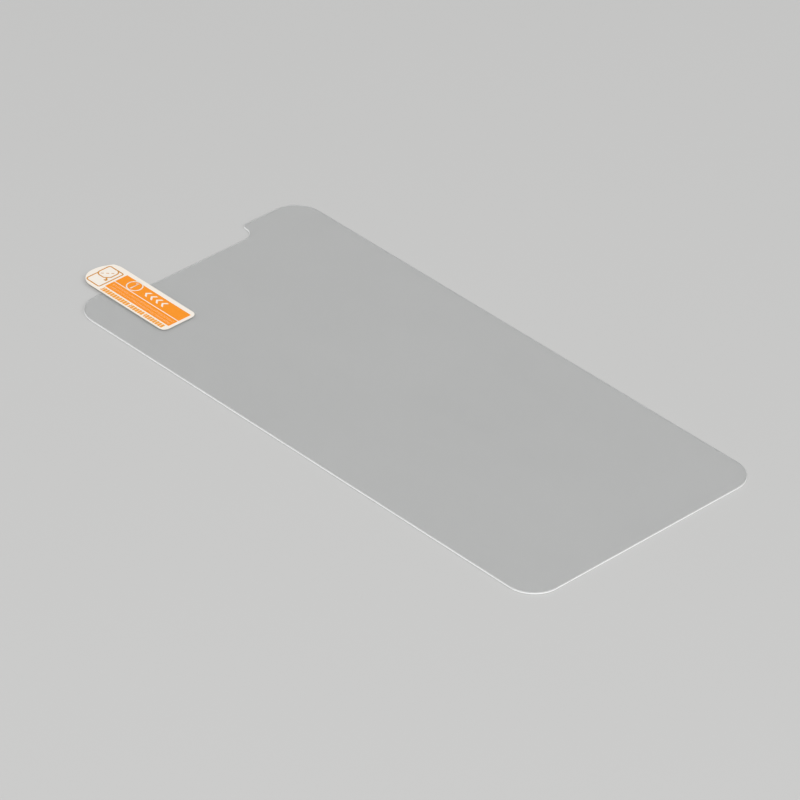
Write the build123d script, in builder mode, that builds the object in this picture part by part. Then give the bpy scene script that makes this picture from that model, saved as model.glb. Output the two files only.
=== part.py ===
from build123d import *
from math import sqrt
import os

# Glass screen protector for a phone, in millimetres, lying with its adhesive face up.
# The origin is the centre of the outer face, which lies down. The notched end is at +Y.

# Glass sheet, with the clear adhesive coat bonded to its upper face
sheet_width = 71.5
sheet_length = 151.3
sheet_thickness = 0.4
sheet_corner_radius = 7.2

# Ground edge of the glass: rounded at the outer face, eased at the adhesive face
outer_edge_radius = 0.18
inner_edge_chamfer = 0.06
least_edge_flat = 0.05

# Notch in the top edge, which leaves a phone's earpiece and camera clear
notch_width = 34.6
notch_depth = 4.9
notch_lip_radius = 2.1
notch_root_radius = 2.1
least_notch_wall = 0.1

# Release film, cut a little smaller than the glass all round
film_thickness = 0.125
film_inset = 0.15

# Pull tab, stuck to the film, with its rounded end past the notched edge
tab_width = 10.45
tab_length = 30.0
tab_thickness = 0.1
tab_side_margin = 9.35
tab_overhang = 8.45
tab_seat_radius = 1.6

# Free end of the tab: one arc whose crest lies off the middle, and a wide and a tight shoulder
tab_end_radius = 8.85
tab_crest_offset = 0.65
wide_shoulder_radius = 4.4
tight_shoulder_radius = 3.0
least_tab_end = 0.1

# Places that follow from the sizes
half_width = sheet_width / 2
half_length = sheet_length / 2
half_notch = notch_width / 2
notch_floor = half_length - notch_depth
film_bottom = sheet_thickness
tab_bottom = film_bottom + film_thickness
half_tab = tab_width / 2
tab_centre = tab_side_margin + half_tab - half_width
tab_seat_end = half_length + tab_overhang - tab_length
wide_reach = half_tab - tab_crest_offset
tight_reach = half_tab + tab_crest_offset

# Curves that are limited by the wall they stand on
lip_radius = min(notch_lip_radius, notch_depth - notch_root_radius - least_notch_wall)
edge_radius = min(outer_edge_radius, sheet_thickness - inner_edge_chamfer - least_edge_flat)
end_radius = max(tab_end_radius, tight_reach + least_tab_end)
wide_radius = min(wide_shoulder_radius, wide_reach - least_tab_end)
tight_radius = min(tight_shoulder_radius, tight_reach - least_tab_end)

# Where the end's arc meets the sides of the tab
arc_centre = tab_length - end_radius
wide_shoulder = arc_centre + sqrt(end_radius**2 - wide_reach**2)
tight_shoulder = arc_centre + sqrt(end_radius**2 - tight_reach**2)

os.makedirs("parts", exist_ok=True)

with BuildPart() as glass_sheet:
    with BuildSketch() as sheet_outline:
        with BuildLine():
            FilletPolyline(
                (0, -half_length),
                (half_width, -half_length),
                (half_width, half_length),
                (half_notch, half_length),
                (half_notch, notch_floor),
                (0, notch_floor),
                radius=[sheet_corner_radius, sheet_corner_radius, lip_radius, notch_root_radius],
            )
            mirror(about=Plane.YZ)
        make_face()
    extrude(amount=sheet_thickness)
    outer_edges = glass_sheet.faces().sort_by(Axis.Z)[0].edges()
    fillet(outer_edges, edge_radius)
    inner_edges = glass_sheet.faces().sort_by(Axis.Z)[-1].edges()
    chamfer(inner_edges, inner_edge_chamfer)

with BuildPart() as release_film:
    with BuildSketch(Plane.XY.offset(film_bottom)):
        add(sheet_outline.sketch_local)
        offset(amount=-film_inset)
    extrude(amount=film_thickness)

with BuildPart() as pull_tab:
    with BuildSketch(Plane((tab_centre, tab_seat_end, tab_bottom))) as tab_outline:
        with BuildLine():
            Polyline((-half_tab, wide_shoulder), (-half_tab, 0), (half_tab, 0), (half_tab, tight_shoulder))
            ThreePointArc(
                (half_tab, tight_shoulder),
                (-tab_crest_offset, tab_length),
                (-half_tab, wide_shoulder),
            )
        make_face()
        shoulders = tab_outline.vertices().sort_by(Axis.Y)[-2:].sort_by(Axis.X)
        fillet(shoulders[0], wide_radius)
        fillet(shoulders[1], tight_radius)
        seat_corners = tab_outline.vertices().group_by(Axis.Y)[0]
        fillet(seat_corners, tab_seat_radius)
    extrude(amount=tab_thickness)

glass_sheet.part.label = "glass_sheet"
release_film.part.label = "release_film"
pull_tab.part.label = "pull_tab"

export_step(glass_sheet.part, "parts/glass_sheet.step")
export_step(release_film.part, "parts/release_film.step")
export_step(pull_tab.part, "parts/pull_tab.step")
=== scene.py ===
import math

import bpy
from bpy.props import FloatProperty, FloatVectorProperty, IntProperty, PointerProperty
from mathutils import Matrix, Vector


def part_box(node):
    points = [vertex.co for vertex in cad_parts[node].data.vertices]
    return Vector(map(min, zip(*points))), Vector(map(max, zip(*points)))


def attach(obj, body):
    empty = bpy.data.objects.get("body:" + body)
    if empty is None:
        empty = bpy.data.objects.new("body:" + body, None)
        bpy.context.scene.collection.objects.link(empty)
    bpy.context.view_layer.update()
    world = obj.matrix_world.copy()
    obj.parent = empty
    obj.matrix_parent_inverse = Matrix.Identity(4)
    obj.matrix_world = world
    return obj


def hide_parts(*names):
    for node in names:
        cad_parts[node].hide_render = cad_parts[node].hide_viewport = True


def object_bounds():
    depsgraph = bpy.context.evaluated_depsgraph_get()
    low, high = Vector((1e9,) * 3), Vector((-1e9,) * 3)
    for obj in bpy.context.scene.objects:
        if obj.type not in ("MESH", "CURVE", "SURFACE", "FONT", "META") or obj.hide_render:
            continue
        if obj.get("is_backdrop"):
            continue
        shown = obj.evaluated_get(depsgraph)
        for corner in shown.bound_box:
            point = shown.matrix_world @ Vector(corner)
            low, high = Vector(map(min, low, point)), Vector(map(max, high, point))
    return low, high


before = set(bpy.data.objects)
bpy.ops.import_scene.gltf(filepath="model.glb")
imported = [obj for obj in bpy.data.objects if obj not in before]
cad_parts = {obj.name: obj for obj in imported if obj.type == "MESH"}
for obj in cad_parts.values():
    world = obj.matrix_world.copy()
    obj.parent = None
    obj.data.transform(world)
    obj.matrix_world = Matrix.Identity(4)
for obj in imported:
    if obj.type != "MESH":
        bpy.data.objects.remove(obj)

bl_info = {
    "name": "Screen protector dresser",
    "version": (1, 0, 0),
    "blender": (4, 5, 0),
    "location": "3D View > Sidebar > Protector",
    "description": "Dresses a glass screen protector: clear sheet, release film, printed tab and stage",
    "category": "Object",
}

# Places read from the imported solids, in metres
CAD_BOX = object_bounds()
GLASS_LOW, GLASS_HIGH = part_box("glass_sheet")
FILM_LOW, FILM_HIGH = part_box("release_film")
TAB_LOW, TAB_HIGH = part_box("pull_tab")

BODY = "root"
MILLIMETRE = 0.001

# Attributes that the node trees read or write
CORNER_RADIUS = "corner_radius"
CUT_EDGE = "cut_edge"

# Steps in a rounded corner, then in a rounded edge
SHEET_STEPS = 24
TAB_STEPS = 20
FIELD_STEPS = 4
LINE_STEPS = 12
ROUND_STEPS = 7
EASE_STEPS = 2

# Points that lie nearer than this become one, in a sheet and in the thinner ink
WELD = 0.0005 * MILLIMETRE
INK_WELD = 0.0001 * MILLIMETRE

# Share of a rounding that is used where two roundings meet, so that none of their points fall together
KEPT_APART = 0.99

# Share of the ink's thickness that eases the edge of a field
INK_EASE = 0.25

# Steps of the seed: from a mark's stems to its bars, from the band to between the rows, and on to each row
BAR_SEED = 4
ROW_SEED = 20
ROW_SEED_STEP = 10


# Settings

def length(name, description, millimetres):
    """A length that a user may change, with its default in millimetres."""
    default = millimetres * MILLIMETRE
    return FloatProperty(name=name, description=description, default=default, unit="LENGTH", precision=6)


def angle(name, description, degrees):
    """An angle that a user may change, with its default in degrees."""
    return FloatProperty(name=name, description=description, default=math.radians(degrees), unit="ROTATION")


def share(name, description, default):
    """A number from 0 to 1 that a user may change."""
    return FloatProperty(
        name=name, description=description, default=default, min=0.0, max=1.0, subtype="FACTOR"
    )


def amount(name, description, default, unit="NONE"):
    """A number of 0 or more that a user may change."""
    return FloatProperty(name=name, description=description, default=default, min=0.0, unit=unit)


def count(name, description, default):
    """A whole number that a user may change."""
    return IntProperty(name=name, description=description, default=default, min=1)


def colour(name, description, default):
    """A linear colour that a user may change."""
    return FloatVectorProperty(
        name=name, description=description, default=default, min=0.0, max=1.0, size=3, subtype="COLOR"
    )


class SheetSettings(bpy.types.PropertyGroup):
    """Glass sheet and release film."""

    corner_radius: length("Corner radius", "Radius of the sheet's four outer corners", 7.2)
    notch_width: length("Notch width", "Width of the notch in the top edge", 34.6)
    notch_depth: length("Notch depth", "Depth of the notch in the top edge", 4.9)
    lip_radius: length("Lip radius", "Rounding where the notch meets the top edge", 1.7)
    root_radius: length("Root radius", "Rounding in the notch's inner corners", 3.1)
    outer_round: length("Outer edge round", "Rounding of the ground edge at the outer face", 0.18)
    inner_ease: length("Inner edge ease", "Small bevel of the ground edge at the adhesive face", 0.06)
    film_gap: length("Film gap", "Thin parting between the glass and its film", 0.004)
    film_ease: length("Film edge ease", "Rounding of the film's cut edge", 0.01)
    glass_cast: colour("Glass cast", "Light that the glass lets through", (0.905, 0.91, 0.91))
    glass_shade: colour("Glass shade", "Darker cast in the glass's faint clouds", (0.885, 0.89, 0.89))
    glass_shadow: colour("Glass shadow", "Light that each face passes on to the floor", (0.95, 0.952, 0.952))
    edge_pale: colour("Edge", "Finely ground edge of the glass", (0.97, 0.975, 0.975))
    edge_deep: colour("Edge grain", "Deeper marks in the ground edge", (0.90, 0.905, 0.905))
    # Painted shade: the ground edge takes this darker colour where it is seen from inside the glass
    edge_inner_painted_shade: colour("Edge inner side", "Ground edge as seen through the sheet", (0.545, 0.55, 0.55))
    film_tone: colour("Film tone", "Faint haze on the film", (0.60, 0.605, 0.61))
    film_haze: share("Film haze", "How much each face of the film veils what is under it", 0.05)
    film_edge_haze: share("Film edge", "How much the film's cut edge hides what is behind it", 0.8)
    film_edge_inner: share("Film edge inner side", "How much it hides as seen through the film", 0.12)


class TabSettings(bpy.types.PropertyGroup):
    """Pull tab and its fields of colour."""

    end_radius: length("End radius", "Radius of the arc at the tab's free end", 7.5)
    crest_offset: length("Crest offset", "How far the arc's crest lies off the tab's middle", 0.47)
    shoulder_radius: length("Shoulder", "Rounding of the free end at its round side", 4.5)
    corner_inset: length("Corner inset", "How far the free end's corner lies inside the tab's side", 0.57)
    corner_drop: length("Corner drop", "How far the free end's corner lies below the crest", 1.6)
    corner_radius: length("Corner radius", "Rounding of the free end's corner", 0.8)
    lean_drop: length("Lean drop", "Where the side begins to lean in to the corner, below the crest", 3.45)
    lean_radius: length("Lean radius", "Rounding where the side begins to lean in", 3.6)
    seat_radius: length("Seat radius", "Rounding of the two corners on the film", 1.6)
    edge_ease: length("Edge ease", "Rounding of the cut edge", 0.01)
    ink: length("Ink thickness", "Thickness of a printed layer", 0.012)
    field_bottom: length("Field bottom", "Start of the printed fields above the seated end", 0.82)
    field_top: length("Field top", "End of the printed fields above the seated end", 22.91)
    field_corner: length("Field corner", "Rounding of the printed fields", 0.12)
    narrow_left: length("Narrow field left", "Left side of the narrow field from the tab's middle", -2.97)
    narrow_right: length("Narrow field right", "Right side of the narrow field from the tab's middle", -0.1)
    wide_left: length("Wide field left", "Left side of the wide field from the tab's middle", 0.14)
    wide_right: length("Wide field right", "Right side of the wide field from the tab's middle", 3.93)
    stock_white: colour("Stock", "White label stock", (0.90, 0.84, 0.76))
    stock_shade: colour("Stock grain", "Slightly darker fibres in the stock", (0.85, 0.79, 0.705))
    ink_orange: colour("Orange ink", "Orange ink", (0.94, 0.305, 0.009))
    ink_deep: colour("Deep orange", "Denser patches in the orange ink", (0.90, 0.275, 0.006))


class MarkSettings(bpy.types.PropertyGroup):
    """Ringed number, chevrons and fine print on the tab."""

    line: length("Mark line", "Middle of the number from the tab's middle", 2.17)
    number_place: length("Number place", "Middle of the ringed number above the seated end", 18.33)
    ring_radius: length("Ring radius", "Radius of the ring's middle line", 1.9)
    ring_stroke: length("Ring stroke", "Width of the ring's stroke", 0.3)
    stroke: length("Number stroke", "Width of the number's strokes", 0.38)
    stem: length("Stem", "Height of the number", 2.75)
    flag: length("Flag", "Reach of the number's flag", 0.45)
    chevron_first: length("First chevron", "Place of the lowest chevron above the seated end", 8.2)
    chevron_step: length("Chevron step", "Spacing of the chevrons", 1.87)
    chevron_count: count("Chevrons", "Number of chevrons", 4)
    chevron_width: length("Chevron width", "Width of a chevron", 1.95)
    chevron_rise: length("Chevron rise", "Height of a chevron's point over its feet", 0.85)
    chevron_stroke: length("Chevron stroke", "Height of a chevron's stroke", 0.6)
    band_line: length("Band line", "Middle of the band of fine print from the tab's middle", -4.08)
    band_start: length("Band start", "Middle of the band's first mark above the seated end", 1.81)
    band_count: count("Band marks", "Number of marks in the band", 25)
    band_pitch: length("Band pitch", "Spacing of the band's marks", 0.8625)
    band_height: length("Band height", "Height of the band's marks", 1.32)
    band_stroke: length("Band stroke", "Width of the band's strokes", 0.33)
    band_ink: colour("Band ink", "Orange ink of the band", (0.90, 0.36, 0.012))
    band_ink_deep: colour("Band ink grain", "Denser patches in the band's ink", (0.82, 0.31, 0.01))
    row_line: length("Row line", "Middle of the narrow field's two rows from the tab's middle", -1.62)
    row_step: length("Row step", "Spacing of the narrow field's two rows", 1.05)
    row_start: length("Row start", "Middle of a row's first mark above the seated end", 1.4)
    row_count: count("Row marks", "Number of marks in a row", 50)
    row_pitch: length("Row pitch", "Spacing of the narrow field's marks", 0.42)
    row_height: length("Row height", "Height of the narrow field's marks", 0.55)
    row_stroke: length("Row stroke", "Width of the narrow field's strokes", 0.011)
    stem_spread: share("Stem spread", "Distance between a mark's stems as a share of the spacing", 0.42)
    stem_gap: share("Stem gap", "Share of the marks' second stems that are left out", 0.1)
    bar_gap: share("Bar gap", "Share of the marks' bars that are left out", 0.4)
    layer: length("Layer", "Step up from the marks' stems to their bars", 0.002)
    seed: count("Seed", "Picks the pattern of the fine print", 7)


class PictureSettings(bpy.types.PropertyGroup):
    """Line picture of a film that is peeled from a screen."""

    ink: colour("Line ink", "Dull orange ink of the lines", (0.68, 0.29, 0.03))
    ink_deep: colour("Line ink grain", "Denser patches in the dull orange ink", (0.64, 0.262, 0.025))
    stroke: length("Stroke", "Width of the screen's and the film's lines", 0.32)
    arrow_stroke: length("Arrow stroke", "Width of the arrow's lines", 0.38)
    glint_stroke: length("Glint stroke", "Width of the glint's dashes", 0.2)
    layer: length("Layer", "Step up from each line to the next, where they cross", 0.002)
    screen_left: length("Screen left", "Left side of the screen from the tab's middle", -4.17)
    screen_right: length("Screen right", "Right side of the screen from the tab's middle", 3.5)
    screen_bottom: length("Screen bottom", "Lower side of the screen above the seated end", 23.66)
    screen_top: length("Screen top", "Upper side of the screen above the seated end", 28.29)
    screen_corner: length("Screen corner", "Rounding of the screen's lower corners", 0.45)
    screen_shoulder: length("Screen shoulder", "Rounding of the screen's upper corner", 0.8)
    film_left: length("Film left", "Left side of the film from the tab's middle", -0.84)
    film_right: length("Film right", "Right side of the film from the tab's middle", 3.48)
    film_bottom: length("Film bottom", "Lower side of the film above the seated end", 24.68)
    film_top: length("Film top", "Upper side of the film above the seated end", 28.46)
    film_corner: length("Film corner", "Rounding of the film", 1.25)
    film_fold: length("Film fold", "Length of the film's turned corner", 1.15)
    arrow_reach: length("Arrow reach", "Length of the arrow across the tab", 1.1)
    arrow_drop: length("Arrow drop", "Length of the arrow along the tab", 0.75)
    arrow_head: length("Arrow head", "Length of each side of the arrow's head", 0.6)
    glint_count: count("Glint dashes", "Number of dashes in the glint on the film", 3)
    glint_left: length("Glint left", "Start of the glint from the tab's middle", -0.12)
    glint_top: length("Glint top", "Start of the glint above the seated end", 27.62)
    glint_dash: length("Glint dash", "Length of a dash along each axis", 0.5)
    glint_step: length("Glint step", "Spacing of the dashes along each axis", 0.87)


class StageSettings(bpy.types.PropertyGroup):
    """Floor, lamps and camera."""

    floor_size: length("Floor size", "Half the width of the floor", 6000.0)
    floor_drop: length("Floor drop", "Parting between the glass and the floor", 0.03)
    fade_start: length("Fade start", "Where the floor begins to run into the background", 140.0)
    fade_end: length("Fade end", "Where the floor has become the background", 550.0)
    floor_pale: colour("Floor", "Pale floor", (0.55, 0.55, 0.545))
    floor_shade: colour("Floor shade", "Faint variation in the floor", (0.54, 0.54, 0.535))
    background: colour("Background", "Pale background beyond the floor", (0.58, 0.58, 0.575))
    sky: amount("Sky", "Even light from all round", 0.54)
    key_power: amount("Key power", "Main lamp, at the near left", 47.5, "POWER")
    key_size: length("Key size", "Width of the main lamp", 1600.0)
    fill_power: amount("Fill power", "Weaker lamp, at the near right", 14.6, "POWER")
    fill_size: length("Fill size", "Width of the weaker lamp", 1800.0)
    azimuth: angle("Azimuth", "Camera's turn about the sheet", -44.906)
    elevation: angle("Elevation", "Camera's height over the floor", 34.514)
    roll: angle("Roll", "Camera's turn about its own axis", 2.2)
    distance: length("Distance", "Camera's distance", 1322.3)
    aim_right: length("Aim right", "Picture's centre to the right of the sheet's centre", -2.192)
    aim_up: length("Aim up", "Picture's centre above the sheet's centre", -1.956)
    lens: amount("Lens", "Focal length in millimetres", 262.65, "CAMERA")


# Node trees

# Distance from node to node in the editor
NODE_STEP = 190.0

# Sockets whose names occur more than once on their node
COLOUR_A = 6
COLOUR_B = 7
COLOUR_RESULT = 2
YES_OR_NO = 3


def node(tree, kind, inputs=None, **options):
    """Adds a node, sets its options, and links or sets each input by its name or number."""
    made = tree.nodes.new(kind)
    made.location.x = NODE_STEP * len(tree.nodes)
    for option, value in options.items():
        setattr(made, option, value)
    for key, value in (inputs or {}).items():
        if isinstance(value, bpy.types.NodeSocket):
            tree.links.new(value, made.inputs[key])
        else:
            made.inputs[key].default_value = value
    return made


def math_node(tree, operation, first, second=0.0, third=0.0):
    """Output of a sum or other operation on numbers."""
    return node(tree, "ShaderNodeMath", {0: first, 1: second, 2: third}, operation=operation).outputs[0]


def combine(tree, x=0.0, y=0.0, z=0.0):
    """Output of a vector made from three numbers."""
    return node(tree, "ShaderNodeCombineXYZ", {0: x, 1: y, 2: z}).outputs[0]


def mixed(tree, factor, first, second):
    """Output of a mix of two colours."""
    inputs = {"Factor": factor, COLOUR_A: first, COLOUR_B: second}
    return node(tree, "ShaderNodeMix", inputs, data_type="RGBA").outputs[COLOUR_RESULT]


def ranged(tree, value, low, high):
    """Output that runs from low to high as a value runs from 0 to 1."""
    return node(tree, "ShaderNodeMapRange", {"Value": value, "To Min": low, "To Max": high}).outputs[0]


def group_tree(name, kind, inputs, outputs):
    """A node group whose sockets are named, each with its kind of value, and its input sockets by name."""
    tree = bpy.data.node_groups.new(name, kind)
    for direction, sockets in (("INPUT", inputs), ("OUTPUT", outputs)):
        for label, value in sockets.items():
            tree.interface.new_socket(label, in_out=direction, socket_type=f"NodeSocket{value}")
    given = tree.nodes.new("NodeGroupInput")
    return tree, {socket.name: socket for socket in given.outputs if socket.name}


def put_out(tree, values):
    """Links values to the group's outputs by name."""
    node(tree, "NodeGroupOutput", values)


def tree_named(name, build):
    """A node group that is built once and shared."""
    return bpy.data.node_groups.get(name) or build()


def lifted(tree, geometry, height):
    """Geometry moved up by a height."""
    return node(
        tree, "GeometryNodeSetPosition", {"Geometry": geometry, "Offset": combine(tree, 0.0, 0.0, height)}
    ).outputs[0]


def joined(tree, parts):
    """Several geometries as one."""
    whole = node(tree, "GeometryNodeJoinGeometry")
    for part in parts:
        tree.links.new(part, whole.inputs[0])
    return whole.outputs[0]


def line(tree, start, end):
    """A straight curve between two points."""
    return node(tree, "GeometryNodeCurvePrimitiveLine", {"Start": start, "End": end}).outputs[0]


def rounded_path(tree, mesh, steps):
    """Curve along a mesh's edges, with each corner rounded by its own radius and its normal kept level."""
    path = node(tree, "GeometryNodeMeshToCurve", {"Mesh": mesh}).outputs[0]
    radius = node(tree, "GeometryNodeInputNamedAttribute", {"Name": CORNER_RADIUS}, data_type="FLOAT")
    rounded = node(
        tree,
        "GeometryNodeFilletCurve",
        {"Curve": path, "Count": steps, "Radius": radius.outputs["Attribute"]},
        mode="POLY",
    ).outputs[0]
    return node(tree, "GeometryNodeSetCurveNormal", {"Curve": rounded}, mode="Z_UP").outputs[0]


def real_in_material(tree, geometry, material):
    """Real geometry in one material."""
    real = node(tree, "GeometryNodeRealizeInstances", {"Geometry": geometry}).outputs[0]
    return node(tree, "GeometryNodeSetMaterial", {"Geometry": real, "Material": material}).outputs[0]


def edge_section(tree, thickness, lower, upper, steps):
    """Section of a sheet's edge: outwards along X, and upwards along minus Y, as the sweep turns it over."""
    wall_top = math_node(tree, "SUBTRACT", thickness, upper)
    ease_in = math_node(tree, "MULTIPLY", upper, -1.0)
    round_in = math_node(tree, "MULTIPLY", lower, -1.0)
    quarter = node(
        tree,
        "GeometryNodeCurveArc",
        {"Resolution": steps, "Radius": lower, "Start Angle": -math.pi / 2, "Sweep Angle": math.pi / 2},
        mode="RADIUS",
    ).outputs["Curve"]
    foot = node(
        tree, "GeometryNodeTransform", {"Geometry": quarter, "Translation": combine(tree, round_in, lower)}
    ).outputs[0]
    wall = line(tree, combine(tree, 0.0, lower), combine(tree, 0.0, wall_top))
    ease = line(tree, combine(tree, 0.0, wall_top), combine(tree, ease_in, thickness))
    section = joined(tree, (foot, wall, ease))
    return node(tree, "GeometryNodeTransform", {"Geometry": section, "Scale": (1.0, -1.0, 1.0)}).outputs[0]


def flat_face(tree, rim, inset, height):
    """Flat face inside a rim, taken in by an inset, at a height."""
    outwards = node(tree, "GeometryNodeInputNormal").outputs["Normal"]
    inwards = math_node(tree, "MULTIPLY", inset, -1.0)
    shift = node(tree, "ShaderNodeVectorMath", {0: outwards, "Scale": inwards}, operation="SCALE").outputs[0]
    taken_in = node(tree, "GeometryNodeSetPosition", {"Geometry": rim, "Offset": shift}).outputs[0]
    filled = node(tree, "GeometryNodeFillCurve", {"Curve": taken_in}, mode="TRIANGLES").outputs[0]
    return lifted(tree, filled, height)


def sheet_tree():
    """Tree that turns outlines into thin closed sheets with rounded corners and a finished edge."""
    tree, given = group_tree(
        "Cut sheet",
        "GeometryNodeTree",
        {
            "Geometry": "Geometry",
            "Bottom": "Float",
            "Thickness": "Float",
            "Lower round": "Float",
            "Upper ease": "Float",
            "Corner steps": "Int",
            "Edge steps": "Int",
            "Weld distance": "Float",
            "Face material": "Material",
            "Edge material": "Material",
        },
        {"Geometry": "Geometry"},
    )
    thickness, lower, upper = given["Thickness"], given["Lower round"], given["Upper ease"]
    rim = rounded_path(tree, given["Geometry"], given["Corner steps"])
    section = edge_section(tree, thickness, lower, upper, given["Edge steps"])
    swept = node(tree, "GeometryNodeCurveToMesh", {"Curve": rim, "Profile Curve": section}).outputs[0]
    turned = node(tree, "GeometryNodeFlipFaces", {"Mesh": swept}).outputs[0]
    smooth = node(tree, "GeometryNodeSetShadeSmooth", {"Geometry": turned, "Shade Smooth": True}).outputs[0]
    edge = node(
        tree,
        "GeometryNodeStoreNamedAttribute",
        {"Geometry": smooth, "Name": CUT_EDGE, "Value": True},
        data_type="BOOLEAN",
        domain="FACE",
    ).outputs[0]
    top = flat_face(tree, rim, upper, thickness)
    bottom = flat_face(tree, rim, lower, 0.0)
    underside = node(tree, "GeometryNodeFlipFaces", {"Mesh": bottom}).outputs[0]
    welded = node(
        tree,
        "GeometryNodeMergeByDistance",
        {"Geometry": joined(tree, (edge, underside, top)), "Distance": given["Weld distance"]},
    ).outputs[0]
    placed = lifted(tree, welded, given["Bottom"])
    faced = real_in_material(tree, placed, given["Face material"])
    is_edge = node(tree, "GeometryNodeInputNamedAttribute", {"Name": CUT_EDGE}, data_type="BOOLEAN")
    edged = node(
        tree,
        "GeometryNodeSetMaterial",
        {"Geometry": faced, "Selection": is_edge.outputs["Attribute"], "Material": given["Edge material"]},
    ).outputs[0]
    put_out(tree, {"Geometry": edged})
    return tree


def stroke_tree():
    """Tree that prints lines of even width along paths with rounded corners."""
    tree, given = group_tree(
        "Printed stroke",
        "GeometryNodeTree",
        {
            "Geometry": "Geometry",
            "Bottom": "Float",
            "Ink": "Float",
            "Width": "Float",
            "Corner steps": "Int",
            "Material": "Material",
        },
        {"Geometry": "Geometry"},
    )
    section = node(
        tree,
        "GeometryNodeCurvePrimitiveQuadrilateral",
        {"Width": given["Width"], "Height": given["Ink"]},
        mode="RECTANGLE",
    ).outputs[0]
    path = rounded_path(tree, given["Geometry"], given["Corner steps"])
    swept = node(
        tree, "GeometryNodeCurveToMesh", {"Curve": path, "Profile Curve": section, "Fill Caps": True}
    ).outputs[0]
    middle = math_node(tree, "MULTIPLY_ADD", given["Ink"], 0.5, given["Bottom"])
    put_out(tree, {"Geometry": real_in_material(tree, lifted(tree, swept, middle), given["Material"])})
    return tree


def row_tree():
    """Tree that prints a row of one mark, with seeded gaps."""
    tree, given = group_tree(
        "Printed row",
        "GeometryNodeTree",
        {
            "Geometry": "Geometry",
            "Count": "Int",
            "Start": "Vector",
            "Step": "Vector",
            "Gap share": "Float",
            "Seed": "Int",
            "Material": "Material",
        },
        {"Geometry": "Geometry"},
    )
    places = node(
        tree,
        "GeometryNodeMeshLine",
        {"Count": given["Count"], "Start Location": given["Start"], "Offset": given["Step"]},
        mode="OFFSET",
        count_mode="TOTAL",
    ).outputs[0]
    blank = node(
        tree,
        "FunctionNodeRandomValue",
        {"Probability": given["Gap share"], "Seed": given["Seed"]},
        data_type="BOOLEAN",
    ).outputs[YES_OR_NO]
    inked = node(
        tree, "GeometryNodeDeleteGeometry", {"Geometry": places, "Selection": blank}, domain="POINT"
    ).outputs[0]
    row = node(
        tree, "GeometryNodeInstanceOnPoints", {"Points": inked, "Instance": given["Geometry"]}
    ).outputs[0]
    put_out(tree, {"Geometry": real_in_material(tree, row, given["Material"])})
    return tree


# Meshes

def path_mesh(name, paths, layer=0.0):
    """Mesh of edges along paths, each (closed, corners), where a corner is (x, y, radius)."""
    points, edges, radii = [], [], []
    for level, (closed, corners) in enumerate(paths):
        first = len(points)
        points += [(x, y, level * layer) for x, y, _ in corners]
        radii += [radius for _, _, radius in corners]
        last = len(points) - 1
        edges += [(i, i + 1) for i in range(first, last)]
        if closed:
            edges.append((last, first))
    mesh = bpy.data.meshes.new(name)
    mesh.from_pydata(points, edges, [])
    mesh.attributes.new(CORNER_RADIUS, "FLOAT", "POINT").data.foreach_set("value", radii)
    return mesh


def prism_mesh(name, outline, height):
    """Closed mesh of an outline, given anticlockwise, of a height."""
    corners = len(outline)
    points = [(x, y, 0.0) for x, y in outline] + [(x, y, height) for x, y in outline]
    sides = [(i, (i + 1) % corners, corners + (i + 1) % corners, corners + i) for i in range(corners)]
    underside = tuple(reversed(range(corners)))
    top = tuple(range(corners, 2 * corners))
    mesh = bpy.data.meshes.new(name)
    mesh.from_pydata(points, [], [underside, top, *sides])
    return mesh


def rectangle(left, bottom, right, top, radius):
    """Corners (x, y, radius) of a rectangle, anticlockwise."""
    return [(left, bottom, radius), (right, bottom, radius), (right, top, radius), (left, top, radius)]


def block(width, height):
    """Corners (x, y) of a rectangle about the origin, anticlockwise."""
    x, y = width / 2, height / 2
    return [(-x, -y), (x, -y), (x, y), (-x, y)]


def grow(name, start, tree, values):
    """Object with a plain mesh, made by running a tree on a start mesh with values for its named inputs."""
    piece = bpy.data.objects.new(name, start)
    bpy.context.scene.collection.objects.link(piece)
    modifier = piece.modifiers.new("Shape", "NODES")
    modifier.node_group = tree
    for item in tree.interface.items_tree:
        if item.in_out == "INPUT" and item.name in values:
            modifier[item.identifier] = values[item.name]
    depsgraph = bpy.context.evaluated_depsgraph_get()
    mesh = bpy.data.meshes.new_from_object(piece.evaluated_get(depsgraph), depsgraph=depsgraph)
    if not mesh.polygons:
        raise RuntimeError(f"{name} came out empty")
    piece.modifiers.remove(modifier)
    piece.data = mesh
    bpy.data.meshes.remove(start)
    mesh.name = name
    for slot in reversed(range(len(mesh.materials))):
        if mesh.materials[slot] is None:
            mesh.materials.pop(index=slot)
    return piece


def cut_sheet(name, outlines, heights, eases, steps, materials, weld=WELD):
    """A thin closed sheet inside its outlines.

    Pairs give its heights at bottom and top, its eases below and above, its steps at corners and edges,
    and its materials on faces and edges.
    """
    bottom, top = heights
    lower, upper = eases
    corner_steps, edge_steps = steps
    face, edge = materials
    return grow(
        name,
        path_mesh("outlines", outlines),
        tree_named("Cut sheet", sheet_tree),
        {
            "Bottom": bottom,
            "Thickness": top - bottom,
            "Lower round": lower,
            "Upper ease": upper,
            "Corner steps": corner_steps,
            "Edge steps": edge_steps,
            "Weld distance": weld,
            "Face material": face,
            "Edge material": edge,
        },
    )


def printed_lines(paths, width, bottom, ink, material, layer=0.0):
    """Lines of even width and ink along paths, each path a layer above the one before."""
    return grow(
        "printed_lines",
        path_mesh("line_paths", paths, layer),
        tree_named("Printed stroke", stroke_tree),
        {"Bottom": bottom, "Ink": ink, "Width": width, "Corner steps": LINE_STEPS, "Material": material},
    )


def printed_row(mark, count, start, step, gap, seed, ink):
    """A row of one mark along the tab, with a share of its places left bare."""
    return grow(
        "printed_row",
        mark,
        tree_named("Printed row", row_tree),
        {
            "Count": count,
            "Start": start,
            "Step": (0.0, step, 0.0),
            "Gap share": gap,
            "Seed": seed,
            "Material": ink,
        },
    )


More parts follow.
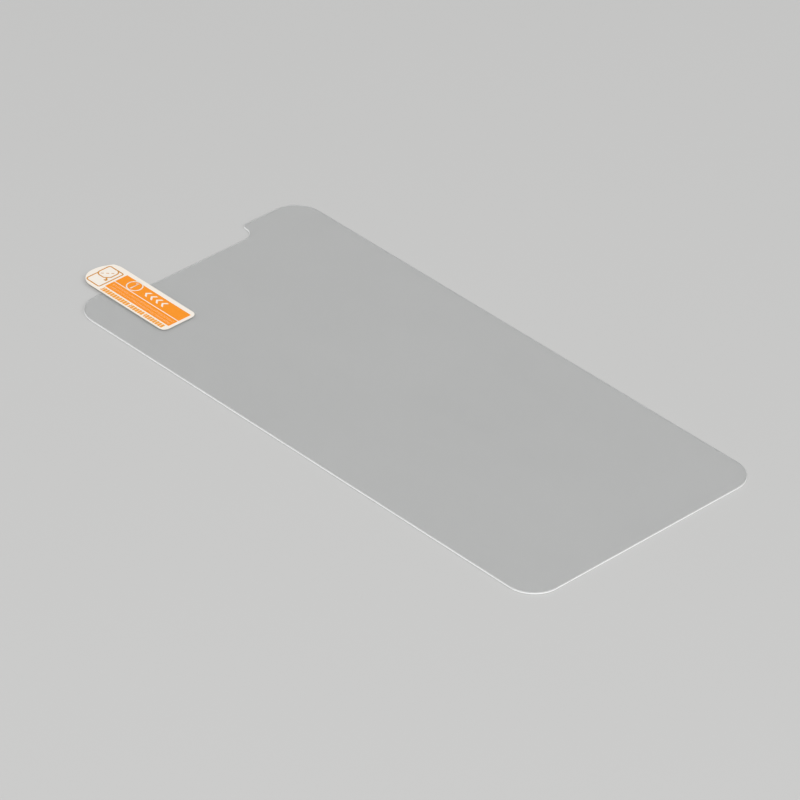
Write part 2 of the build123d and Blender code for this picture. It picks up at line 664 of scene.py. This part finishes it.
def join(name, pieces):
    """One object from several, which keeps their materials."""
    with bpy.context.temp_override(active_object=pieces[0], selected_editable_objects=pieces):
        bpy.ops.object.join()
    pieces[0].name = name
    pieces[0].data.name = name
    return pieces[0]


def seat(piece, slot, *nodes):
    """Makes a piece ride with the part, in place of solids; its slot is not used."""
    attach(piece, BODY)
    if nodes:
        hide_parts(*nodes)


# Outlines

def sheet_outline(sheet, inset):
    """Corners of the notched sheet, anticlockwise, taken in by an even inset."""
    side = GLASS_HIGH.x - inset
    end = GLASS_HIGH.y - inset
    notch_side = sheet.notch_width / 2 + inset
    notch_floor = end - sheet.notch_depth
    corner = sheet.corner_radius - inset
    right = [
        (side, -end, corner),
        (side, end, corner),
        (notch_side, end, sheet.lip_radius - inset),
        (notch_side, notch_floor, sheet.root_radius + inset),
    ]
    left = [(-x, y, radius) for x, y, radius in reversed(right)]
    return right + left


def tangent_corner(centre, radius, first, second):
    """Corner whose sides, with the given outward directions, touch a circle."""
    meeting = centre + (first + second) * (radius / (1 + first.dot(second)))
    return meeting.x, meeting.y, radius


def tab_outline(tab):
    """Corners of the tab, anticlockwise. The end's arc runs on tangents into its corner and its shoulder."""
    crest = Vector((tab_middle() - tab.crest_offset, TAB_HIGH.y - tab.end_radius))
    corner = Vector((TAB_HIGH.x - tab.corner_inset, TAB_HIGH.y - tab.corner_drop))
    reach = corner - crest
    turn = math.atan2(reach.y, reach.x) + math.acos(tab.end_radius / reach.length)
    corner_side = Vector((math.cos(turn), math.sin(turn)))
    shoulder = Vector((TAB_LOW.x + tab.shoulder_radius, crest.y))
    shoulder.y += math.sqrt((tab.end_radius - tab.shoulder_radius) ** 2 - (shoulder.x - crest.x) ** 2)
    shoulder_side = (shoulder - crest).normalized()
    x, y, radius = tangent_corner(shoulder, tab.shoulder_radius, shoulder_side, Vector((-1.0, 0.0)))
    return [
        (TAB_LOW.x, TAB_LOW.y, tab.seat_radius),
        (TAB_HIGH.x, TAB_LOW.y, tab.seat_radius),
        (TAB_HIGH.x, TAB_HIGH.y - tab.lean_drop, tab.lean_radius),
        (corner.x, corner.y, tab.corner_radius),
        tangent_corner(crest, tab.end_radius, corner_side, shoulder_side),
        (x, y, radius * KEPT_APART),
    ]


def tab_middle():
    """The tab's middle line."""
    return (TAB_LOW.x + TAB_HIGH.x) / 2


def on_tab(across, along):
    """Place on the tab, from its middle line and its seated end."""
    return tab_middle() + across, TAB_LOW.y + along


def tab_path(closed, corners):
    """A path on the tab, from corners (across, along, radius)."""
    return closed, [(*on_tab(across, along), radius) for across, along, radius in corners]


# Materials

# Scale of the grain or clouds in each finish, per metre
GROUND_GRAIN = 9000.0
STOCK_GRAIN = 5200.0
ORANGE_GRAIN = 3000.0
FILM_CLOUDS = 60.0
GLASS_CLOUDS = 24.0
FLOOR_CLOUDS = 3.0

# Least and most roughness of each finish
GROUND_ROUGHNESS = (0.35, 0.6)
STOCK_ROUGHNESS = (0.4, 0.62)
WHITE_ROUGHNESS = (0.36, 0.56)
ORANGE_ROUGHNESS = (0.36, 0.52)
FILM_ROUGHNESS = (0.12, 0.30)
FLOOR_ROUGHNESS = (0.6, 0.75)
POLISHED = (0.0, 0.0)

# Stretch of the grain along each axis
EVEN = (1.0, 1.0, 1.0)
GROUND_STRETCH = (1.0, 1.0, 4.0)
FILM_STRETCH = (1.0, 0.4, 1.0)

# Strength of the relief on paper and ink, and its depth
STOCK_RELIEF = 0.35
INK_RELIEF = 0.2
RELIEF_DEPTH = 0.02 * MILLIMETRE

# Shine of paper and ink, and of the floor
PRINT_GLOSS = 0.25
FLOOR_GLOSS = 0.2

# Noise behind the grain, and the middle of its range, where it gathers
NOISE_DETAIL = 4.0
NOISE_ROUGHNESS = 0.55
NOISE_LOW = 0.3
NOISE_HIGH = 0.7

# How strongly glass bends light, and the film's densest haze as a share of its faintest
GLASS_IOR = 1.5
DENSE_HAZE = 1.25


def grain_group():
    """Shader group: two tones mixed by fine noise, with a roughness, a mask and a height that follow it."""
    tree, given = group_tree(
        "Fine grain",
        "ShaderNodeTree",
        {
            "Pale": "Color",
            "Deep": "Color",
            "Scale": "Float",
            "Stretch": "Vector",
            "Least roughness": "Float",
            "Most roughness": "Float",
        },
        {"Color": "Color", "Roughness": "Float", "Mask": "Float", "Height": "Float"},
    )
    where = node(tree, "ShaderNodeTexCoord").outputs["Object"]
    stretched = node(
        tree, "ShaderNodeVectorMath", {0: where, 1: given["Stretch"]}, operation="MULTIPLY"
    ).outputs[0]
    noise = node(
        tree,
        "ShaderNodeTexNoise",
        {
            "Vector": stretched,
            "Scale": given["Scale"],
            "Detail": NOISE_DETAIL,
            "Roughness": NOISE_ROUGHNESS,
        },
    ).outputs[0]
    mask = node(
        tree, "ShaderNodeMapRange", {"Value": noise, "From Min": NOISE_LOW, "From Max": NOISE_HIGH}
    ).outputs[0]
    tone = mixed(tree, mask, given["Pale"], given["Deep"])
    rough = ranged(tree, mask, given["Least roughness"], given["Most roughness"])
    put_out(tree, {"Color": tone, "Roughness": rough, "Mask": mask, "Height": noise})
    return tree


def grain(tree, pale, deep, scale, roughness, stretch=EVEN):
    """Outputs of a placed copy of the fine grain group with its own values."""
    least, most = roughness
    return node(
        tree,
        "ShaderNodeGroup",
        {
            "Pale": rgba(pale),
            "Deep": rgba(deep),
            "Scale": scale,
            "Stretch": stretch,
            "Least roughness": least,
            "Most roughness": most,
        },
        node_tree=tree_named("Fine grain", grain_group),
    ).outputs


def rgba(tone):
    """A colour setting as a socket's four numbers."""
    return (*tone, 1.0)


def new_material(name):
    """An empty node material and its tree."""
    material = bpy.data.materials.new(name)
    material.use_nodes = True
    tree = material.node_tree
    tree.nodes.clear()
    return material, tree


def surfaced(material, shader):
    """The material, with a shader as its surface."""
    node(material.node_tree, "ShaderNodeOutputMaterial", {"Surface": shader.outputs[0]})
    return material


def grained_material(name, pale, deep, scale, roughness, bump):
    """An opaque finish with fine grain in its colour, roughness and surface."""
    material, tree = new_material(name)
    marks = grain(tree, pale, deep, scale, roughness)
    relief = node(
        tree, "ShaderNodeBump", {"Height": marks["Height"], "Strength": bump, "Distance": RELIEF_DEPTH}
    )
    surface = node(
        tree,
        "ShaderNodeBsdfPrincipled",
        {
            "Base Color": marks["Color"],
            "Roughness": marks["Roughness"],
            "Specular IOR Level": PRINT_GLOSS,
            "Normal": relief.outputs[0],
        },
    )
    return surfaced(material, surface)


def orange_material(name, pale, deep):
    """Orange printing ink in two tones."""
    return grained_material(name, pale, deep, ORANGE_GRAIN, ORANGE_ROUGHNESS, INK_RELIEF)


def ground_material(sheet):
    """Finely ground glass, pale from outside, with painted shade where it is seen through the sheet."""
    material, tree = new_material("ground_edge")
    marks = grain(tree, sheet.edge_pale, sheet.edge_deep, GROUND_GRAIN, GROUND_ROUGHNESS, GROUND_STRETCH)
    inside = node(tree, "ShaderNodeNewGeometry").outputs["Backfacing"]
    # Painted shade: faces seen from inside the glass take the darker inner edge colour
    tone = mixed(tree, inside, marks["Color"], rgba(sheet.edge_inner_painted_shade))
    surface = node(tree, "ShaderNodeBsdfPrincipled", {"Base Color": tone, "Roughness": marks["Roughness"]})
    return surfaced(material, surface)


def glass_material(sheet):
    """Clear polished glass that lets lamps light the floor under it."""
    material, tree = new_material("polished_glass")
    clouds = grain(tree, sheet.glass_cast, sheet.glass_shade, GLASS_CLOUDS, POLISHED)
    glass = node(
        tree,
        "ShaderNodeBsdfPrincipled",
        {"Base Color": clouds["Color"], "Roughness": 0.0, "IOR": GLASS_IOR, "Transmission Weight": 1.0},
    )
    clear = node(tree, "ShaderNodeBsdfTransparent", {"Color": rgba(sheet.glass_shadow)})
    path = node(tree, "ShaderNodeLightPath").outputs
    lamp_ray = math_node(tree, "MAXIMUM", path["Is Shadow Ray"], path["Is Diffuse Ray"])
    mix = node(tree, "ShaderNodeMixShader", {0: lamp_ray, 1: glass.outputs[0], 2: clear.outputs[0]})
    return surfaced(material, mix)


def film_material(sheet):
    """Clear film with a faint haze that is a little uneven along its length."""
    material, tree = new_material("hazed_film")
    tone, haze = sheet.film_tone, sheet.film_haze
    clouds = grain(tree, tone, tone, FILM_CLOUDS, FILM_ROUGHNESS, FILM_STRETCH)
    veil = ranged(tree, clouds["Mask"], haze, haze * DENSE_HAZE)
    surface = node(
        tree,
        "ShaderNodeBsdfPrincipled",
        {"Base Color": rgba(tone), "Roughness": clouds["Roughness"], "Alpha": veil},
    )
    return surfaced(material, surface)


def film_edge_material(sheet):
    """The film's cut edge: a fine pale line from outside, and a faint one through the film."""
    material, tree = new_material("film_cut_edge")
    marks = grain(tree, sheet.edge_pale, sheet.edge_deep, GROUND_GRAIN, GROUND_ROUGHNESS)
    inside = node(tree, "ShaderNodeNewGeometry").outputs["Backfacing"]
    veil = ranged(tree, inside, sheet.film_edge_haze, sheet.film_edge_inner)
    surface = node(
        tree,
        "ShaderNodeBsdfPrincipled",
        {"Base Color": marks["Color"], "Roughness": marks["Roughness"], "Alpha": veil},
    )
    return surfaced(material, surface)


def looked_at(tree):
    """Output that is 1 for what the eye sees, straight, mirrored or through glass, and 0 for light."""
    path = node(tree, "ShaderNodeLightPath").outputs
    through = math_node(tree, "MAXIMUM", path["Is Glossy Ray"], path["Is Transmission Ray"])
    return math_node(tree, "MAXIMUM", path["Is Camera Ray"], through)


def floor_material(stage):
    """Pale floor, which takes shadows near the sheet and runs into the background further out."""
    material, tree = new_material("pale_floor")
    marks = grain(tree, stage.floor_pale, stage.floor_shade, FLOOR_CLOUDS, FLOOR_ROUGHNESS)
    near = node(
        tree,
        "ShaderNodeBsdfPrincipled",
        {"Base Color": marks["Color"], "Roughness": marks["Roughness"], "Specular IOR Level": FLOOR_GLOSS},
    )
    far = node(tree, "ShaderNodeEmission", {"Color": rgba(stage.background), "Strength": 1.0})
    where = node(tree, "ShaderNodeTexCoord").outputs["Object"]
    reach = node(tree, "ShaderNodeVectorMath", {0: where}, operation="LENGTH").outputs["Value"]
    fade = node(
        tree,
        "ShaderNodeMapRange",
        {"Value": reach, "From Min": stage.fade_start, "From Max": stage.fade_end},
        interpolation_type="SMOOTHSTEP",
    ).outputs[0]
    seen_far = math_node(tree, "MULTIPLY", fade, looked_at(tree))
    mix = node(tree, "ShaderNodeMixShader", {0: seen_far, 1: near.outputs[0], 2: far.outputs[0]})
    return surfaced(material, mix)


# Operators

class PROTECTOR_OT_glass_sheet(bpy.types.Operator):
    """Makes the notched glass sheet with its ground edge"""

    bl_idname = "protector.glass_sheet"
    bl_label = "Glass sheet"

    def execute(self, context):
        sheet = context.scene.protector_sheet
        piece = cut_sheet(
            "glass_pane",
            [(True, sheet_outline(sheet, 0.0))],
            heights=(GLASS_LOW.z, GLASS_HIGH.z),
            eases=(sheet.outer_round, sheet.inner_ease),
            steps=(SHEET_STEPS, ROUND_STEPS),
            materials=(glass_material(sheet), ground_material(sheet)),
        )
        seat(piece, "clear_glass", "glass_sheet")
        return {"FINISHED"}


class PROTECTOR_OT_release_film(bpy.types.Operator):
    """Makes the clear release film on the adhesive face"""

    bl_idname = "protector.release_film"
    bl_label = "Release film"

    def execute(self, context):
        sheet = context.scene.protector_sheet
        inset = FILM_LOW.x - GLASS_LOW.x
        piece = cut_sheet(
            "peel_film",
            [(True, sheet_outline(sheet, inset))],
            heights=(FILM_LOW.z + sheet.film_gap, FILM_HIGH.z),
            eases=(sheet.film_ease, sheet.film_ease),
            steps=(SHEET_STEPS, EASE_STEPS),
            materials=(film_material(sheet), film_edge_material(sheet)),
        )
        seat(piece, "clear_film", "release_film")
        return {"FINISHED"}


class PROTECTOR_OT_pull_tab(bpy.types.Operator):
    """Makes the tab's white stock"""

    bl_idname = "protector.pull_tab"
    bl_label = "Pull tab"

    def execute(self, context):
        tab = context.scene.protector_tab
        white, shade = tab.stock_white, tab.stock_shade
        stock = grained_material("label_stock", white, shade, STOCK_GRAIN, STOCK_ROUGHNESS, STOCK_RELIEF)
        piece = cut_sheet(
            "tab_stock",
            [(True, tab_outline(tab))],
            heights=(TAB_LOW.z, TAB_HIGH.z),
            eases=(tab.edge_ease, tab.edge_ease),
            steps=(TAB_STEPS, EASE_STEPS),
            materials=(stock, stock),
        )
        seat(piece, "printed_tab", "pull_tab")
        return {"FINISHED"}


class PROTECTOR_OT_tab_fields(bpy.types.Operator):
    """Prints the two orange fields on the tab"""

    bl_idname = "protector.tab_fields"
    bl_label = "Printed fields"

    def execute(self, context):
        tab = context.scene.protector_tab
        orange = orange_material("orange_ink", tab.ink_orange, tab.ink_deep)
        low, high, radius = tab.field_bottom, tab.field_top, tab.field_corner
        narrow = rectangle(tab.narrow_left, low, tab.narrow_right, high, radius)
        wide = rectangle(tab.wide_left, low, tab.wide_right, high, radius)
        ease = tab.ink * INK_EASE
        piece = cut_sheet(
            "print_fields",
            [tab_path(True, narrow), tab_path(True, wide)],
            heights=(TAB_HIGH.z, TAB_HIGH.z + tab.ink),
            eases=(ease, ease),
            steps=(FIELD_STEPS, EASE_STEPS),
            materials=(orange, orange),
            weld=INK_WELD,
        )
        seat(piece, "printed_tab")
        return {"FINISHED"}


class PROTECTOR_OT_tab_marks(bpy.types.Operator):
    """Prints the ringed number and the chevrons that point to the free end"""

    bl_idname = "protector.tab_marks"
    bl_label = "Number and chevrons"

    def execute(self, context):
        tab = context.scene.protector_tab
        marks = context.scene.protector_marks
        pale, shade = tab.stock_white, tab.stock_shade
        white = grained_material("white_ink", pale, shade, STOCK_GRAIN, WHITE_ROUGHNESS, INK_RELIEF)
        level = TAB_HIGH.z + tab.ink
        across, along, radius = marks.line, marks.number_place, marks.ring_radius
        rounding = radius * KEPT_APART
        ring = rectangle(across - radius, along - radius, across + radius, along + radius, rounding)
        # The number lies on its side, with its top to the tab's right and its flag to the free end
        head = across + marks.stem / 2
        number = [
            (across - marks.stem / 2, along, 0.0),
            (head, along, 0.0),
            (head - marks.flag, along + marks.flag, 0.0),
        ]
        strokes = [
            printed_lines([tab_path(True, ring)], marks.ring_stroke, level, tab.ink, white),
            printed_lines([tab_path(False, number)], marks.stroke, level, tab.ink, white),
        ]
        half, rise, stroke = marks.chevron_width / 2, marks.chevron_rise, marks.chevron_stroke
        peak = rise + stroke
        arms = [(-half, 0.0), (0.0, rise), (half, 0.0), (half, stroke), (0.0, peak), (-half, stroke)]
        chevrons = printed_row(
            prism_mesh("chevron", arms, tab.ink),
            count=marks.chevron_count,
            start=(*on_tab(across, marks.chevron_first - peak / 2), level),
            step=marks.chevron_step,
            gap=0.0,
            seed=marks.seed,
            ink=white,
        )
        seat(join("print_marks", [*strokes, chevrons]), "printed_tab")
        return {"FINISHED"}


class PROTECTOR_OT_tab_fine_print(bpy.types.Operator):
    """Prints the band and the two rows of small marks, which spell nothing"""

    bl_idname = "protector.tab_fine_print"
    bl_label = "Fine print"

    def execute(self, context):
        tab = context.scene.protector_tab
        marks = context.scene.protector_marks

        def small_marks(line, start, count, pitch, height, stroke, bottom, seed, ink):
            # Each mark has one or two stems and up to three bars, and the bars lie a hair above the stems
            spread = pitch * marks.stem_spread
            for side, gap in ((-1, 0.0), (1, marks.stem_gap)):
                yield printed_row(
                    prism_mesh("stem", block(height, stroke), tab.ink),
                    count=count,
                    start=(*on_tab(line, start + side * spread / 2), bottom),
                    step=pitch,
                    gap=gap,
                    seed=seed + side,
                    ink=ink,
                )
            for level in (-1, 0, 1):
                yield printed_row(
                    prism_mesh("bar", block(stroke, spread), tab.ink),
                    count=count,
                    start=(*on_tab(line + level * (height - stroke) / 2, start), bottom + marks.layer),
                    step=pitch,
                    gap=marks.bar_gap,
                    seed=seed + BAR_SEED + level,
                    ink=ink,
                )

        pieces = [
            *small_marks(
                marks.band_line,
                marks.band_start,
                marks.band_count,
                marks.band_pitch,
                marks.band_height,
                marks.band_stroke,
                TAB_HIGH.z,
                marks.seed,
                orange_material("band_ink", marks.band_ink, marks.band_ink_deep),
            )
        ]
        for side in (-1, 1):
            pieces += small_marks(
                marks.row_line + side * marks.row_step / 2,
                marks.row_start,
                marks.row_count,
                marks.row_pitch,
                marks.row_height,
                marks.row_stroke,
                TAB_HIGH.z + tab.ink,
                marks.seed + ROW_SEED + ROW_SEED_STEP * side,
                bpy.data.materials["white_ink"],
            )
        seat(join("print_fine", pieces), "printed_tab")
        return {"FINISHED"}


class PROTECTOR_OT_tab_picture(bpy.types.Operator):
    """Prints the line picture of a film that is peeled from a screen"""

    bl_idname = "protector.tab_picture"
    bl_label = "Peeling picture"

    def execute(self, context):
        tab = context.scene.protector_tab
        picture = context.scene.protector_picture
        left, right = picture.film_left, picture.film_right
        low, top = picture.film_bottom, picture.film_top
        fold, corner = picture.film_fold, picture.film_corner
        film = [
            (left, low + fold, fold / 2),
            (left + fold, low, fold / 2),
            (right, low, corner),
            (right, top, corner / 2),
            (left, top, corner),
        ]
        # The screen's line stops where it meets the film
        screen = [
            (left + corner / 2, picture.screen_top, 0.0),
            (picture.screen_left, picture.screen_top, picture.screen_shoulder),
            (picture.screen_left, picture.screen_bottom, picture.screen_corner),
            (picture.screen_right, picture.screen_bottom, picture.screen_corner),
            (picture.screen_right, low + corner, 0.0),
        ]
        tail_x, tail_y = left + fold / 2, low + fold / 2
        tip_x, tip_y = tail_x - picture.arrow_reach, tail_y - picture.arrow_drop
        arrow = [(tail_x, tail_y, 0.0), (tip_x, tip_y, 0.0)]
        head = [
            (tip_x, tip_y + picture.arrow_head, 0.0),
            (tip_x, tip_y, 0.0),
            (tip_x + picture.arrow_head, tip_y, 0.0),
        ]
        glint = []
        for dash in range(picture.glint_count):
            x = picture.glint_left + dash * picture.glint_step
            y = picture.glint_top - dash * picture.glint_step
            end = (x + picture.glint_dash, y - picture.glint_dash, 0.0)
            glint.append(tab_path(False, [(x, y, 0.0), end]))

        dull = orange_material("line_ink", picture.ink, picture.ink_deep)
        outlines = [tab_path(False, screen), tab_path(True, film)]
        arrows = [tab_path(False, arrow), tab_path(False, head)]
        level, layer = TAB_HIGH.z, picture.layer
        above = level + len(outlines) * layer
        pieces = [
            printed_lines(outlines, picture.stroke, level, tab.ink, dull, layer),
            printed_lines(arrows, picture.arrow_stroke, above, tab.ink, dull, layer),
            printed_lines(glint, picture.glint_stroke, level, tab.ink, dull, layer),
        ]
        seat(join("print_picture", pieces), "printed_tab")
        return {"FINISHED"}


class PROTECTOR_OT_stage(bpy.types.Operator):
    """Makes the pale floor, the soft lamps, the world and the camera"""

    bl_idname = "protector.stage"
    bl_label = "Stage"

    def execute(self, context):
        stage = context.scene.protector_stage
        lay_floor(stage)
        light_world(context.scene, stage)
        hang_lamp("key", stage.key_power, stage.key_size, KEY_PLACE)
        hang_lamp("fill", stage.fill_power, stage.fill_size, FILL_PLACE)
        set_camera(context.scene, stage)
        context.scene.view_settings.view_transform = "Standard"
        return {"FINISHED"}


# Stage

# Places of the two lamps and the camera's range, in metres
KEY_PLACE = (-1.5, -1.1, 2.1)
FILL_PLACE = (1.3, -1.9, 1.6)
CAMERA_NEAR = 0.01
CAMERA_FAR = 50.0


def lay_floor(stage):
    """A wide pale floor just under the sheet."""
    half, height = stage.floor_size, CAD_BOX[0].z - stage.floor_drop
    mesh = bpy.data.meshes.new("floor")
    corners = [(-half, -half, height), (half, -half, height), (half, half, height), (-half, half, height)]
    mesh.from_pydata(corners, [], [(0, 1, 2, 3)])
    floor = bpy.data.objects.new("floor", mesh)
    bpy.context.scene.collection.objects.link(floor)
    mesh.materials.append(floor_material(stage))
    floor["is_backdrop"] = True


def light_world(scene, stage):
    """Even light from all round, with a pale background for the eye and for glass."""
    world = bpy.data.worlds.new("soft_sky")
    world.use_nodes = True
    tree = world.node_tree
    tree.nodes.clear()
    sky = node(tree, "ShaderNodeBackground", {"Color": (1.0, 1.0, 1.0, 1.0), "Strength": stage.sky})
    seen = node(tree, "ShaderNodeBackground", {"Color": rgba(stage.background), "Strength": 1.0})
    mix = node(tree, "ShaderNodeMixShader", {0: looked_at(tree), 1: sky.outputs[0], 2: seen.outputs[0]})
    node(tree, "ShaderNodeOutputWorld", {"Surface": mix.outputs[0]})
    scene.world = world


def hang_lamp(name, power, size, place):
    """A large soft lamp that points at the sheet."""
    light = bpy.data.lights.new(name, "AREA")
    light.energy = power
    light.shape = "DISK"
    light.size = size
    lamp = bpy.data.objects.new(name, light)
    lamp.location = place
    lamp.rotation_euler = (-Vector(place)).to_track_quat("-Z", "Y").to_euler()
    bpy.context.scene.collection.objects.link(lamp)


def set_camera(scene, stage):
    """The camera, from its angles about the sheet's centre."""
    turn, lift = stage.azimuth, stage.elevation
    back = Vector((math.sin(turn) * math.cos(lift), -math.cos(turn) * math.cos(lift), math.sin(lift)))
    level_right = Vector((math.cos(turn), math.sin(turn), 0.0))
    level_up = back.cross(level_right)
    right = level_right * math.cos(stage.roll) + level_up * math.sin(stage.roll)
    up = level_up * math.cos(stage.roll) - level_right * math.sin(stage.roll)
    place = right * stage.aim_right + up * stage.aim_up + back * stage.distance
    data = bpy.data.cameras.new("camera")
    data.lens = stage.lens
    data.clip_start = CAMERA_NEAR
    data.clip_end = CAMERA_FAR
    camera = bpy.data.objects.new("camera", data)
    camera.matrix_world = Matrix.Translation(place) @ Matrix((right, up, back)).transposed().to_4x4()
    scene.collection.objects.link(camera)
    scene.camera = camera


class PROTECTOR_PT_panel(bpy.types.Panel):
    """Lists the pieces of the screen protector"""

    bl_idname = "PROTECTOR_PT_panel"
    bl_label = "Screen protector"
    bl_space_type = "VIEW_3D"
    bl_region_type = "UI"
    bl_category = "Protector"

    def draw(self, context):
        for operator in OPERATORS:
            self.layout.operator(operator.bl_idname)


SETTINGS = {
    "protector_sheet": SheetSettings,
    "protector_tab": TabSettings,
    "protector_marks": MarkSettings,
    "protector_picture": PictureSettings,
    "protector_stage": StageSettings,
}

OPERATORS = (
    PROTECTOR_OT_glass_sheet,
    PROTECTOR_OT_release_film,
    PROTECTOR_OT_pull_tab,
    PROTECTOR_OT_tab_fields,
    PROTECTOR_OT_tab_marks,
    PROTECTOR_OT_tab_fine_print,
    PROTECTOR_OT_tab_picture,
    PROTECTOR_OT_stage,
)

CLASSES = (*SETTINGS.values(), *OPERATORS, PROTECTOR_PT_panel)


def register():
    """Registers the classes, and gives each scene their settings."""
    for cls in CLASSES:
        bpy.utils.register_class(cls)
    for name, group in SETTINGS.items():
        setattr(bpy.types.Scene, name, PointerProperty(type=group))


def unregister():
    """Takes the settings and the classes away again."""
    for name in SETTINGS:
        delattr(bpy.types.Scene, name)
    for cls in reversed(CLASSES):
        bpy.utils.unregister_class(cls)


def main():
    """Dresses the part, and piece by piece."""
    register()
    bpy.ops.protector.glass_sheet()
    bpy.ops.protector.release_film()
    bpy.ops.protector.pull_tab()
    bpy.ops.protector.tab_fields()
    bpy.ops.protector.tab_marks()
    bpy.ops.protector.tab_fine_print()
    bpy.ops.protector.tab_picture()
    bpy.ops.protector.stage()
    boxes = {"cad": CAD_BOX, "visual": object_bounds()}
    {name: [list(corner) for corner in box] for name, box in boxes.items()}


if __name__ == "__main__":
    main()
